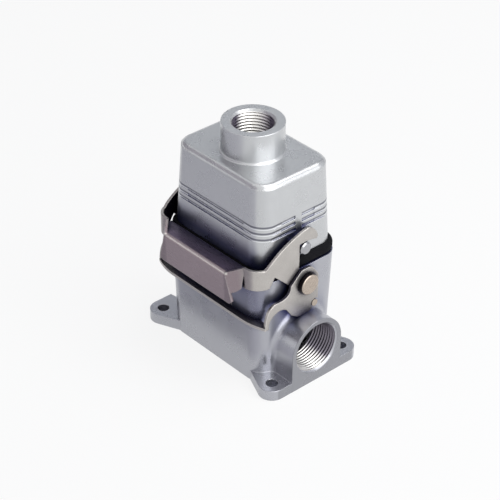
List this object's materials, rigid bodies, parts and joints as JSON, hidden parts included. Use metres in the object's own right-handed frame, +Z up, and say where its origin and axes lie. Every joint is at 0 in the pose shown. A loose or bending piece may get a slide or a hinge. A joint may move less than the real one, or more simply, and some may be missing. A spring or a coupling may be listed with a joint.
{
  "type": "heavy duty rectangular connector",
  "caption": "Rectangular cast connector: hood locked on a surface mounted housing by a folded lever, with a side and a top cable entry.",
  "frame": {"origin": "middle of the base's underside", "axes": "+Z up, +X towards the side cable entry"},
  "size_m": [0.087, 0.0606, 0.1132],
  "materials": {
    "cast_housing": "satin grey paint over die casting",
    "cast_hood": "satin grey paint over die casting",
    "seal": "black, matte",
    "peg": "bright turned",
    "rivet": "bright, slightly yellow plating",
    "spacer": "plated",
    "stud": "plated",
    "lever_sheet": "satin plated sheet",
    "bail_sheet": "satin plated sheet",
    "insert_plastic": "light grey moulded",
    "contact": "plated",
    "screw": "plated",
    "earth": "plated"
  },
  "bodies": {
    "connector": {"housing_shell": "cast_housing", "hood_shell": "cast_hood", "mating_seal": "seal", "hood_peg_right": "peg", "hood_peg_left": "peg", "pivot_rivet_right": "rivet", "pivot_rivet_left": "rivet", "pivot_spacer_right": "spacer", "pivot_spacer_left": "spacer", "stop_stud_right": "stud", "stop_stud_left": "stud", "female_insert_body": "insert_plastic", "male_insert_body": "insert_plastic", "socket_contacts": "contact", "pin_contacts": "contact", "female_terminal_screws": "screw", "male_terminal_screws": "screw", "female_insert_screws": "screw", "male_insert_screws": "screw", "female_earth_plates": "earth", "male_earth_plates": "earth", "female_earth_screws": "screw", "male_earth_screws": "screw"},
    "lever": {"locking_lever": "lever_sheet"},
    "bail": {"lower_bail": "bail_sheet"}
  },
  "joints": [
    {"name": "lever_hinge", "type": "hinge", "parent": "connector", "child": "lever", "pos_m": [0, 0, 0.04818], "axis": [1, 0, 0], "range_deg": [0, 29]},
    {"name": "bail_hinge", "type": "hinge", "parent": "connector", "child": "bail", "pos_m": [0, 0, 0.04818], "axis": [1, 0, 0], "range_deg": [-2, 0]}
  ]
}
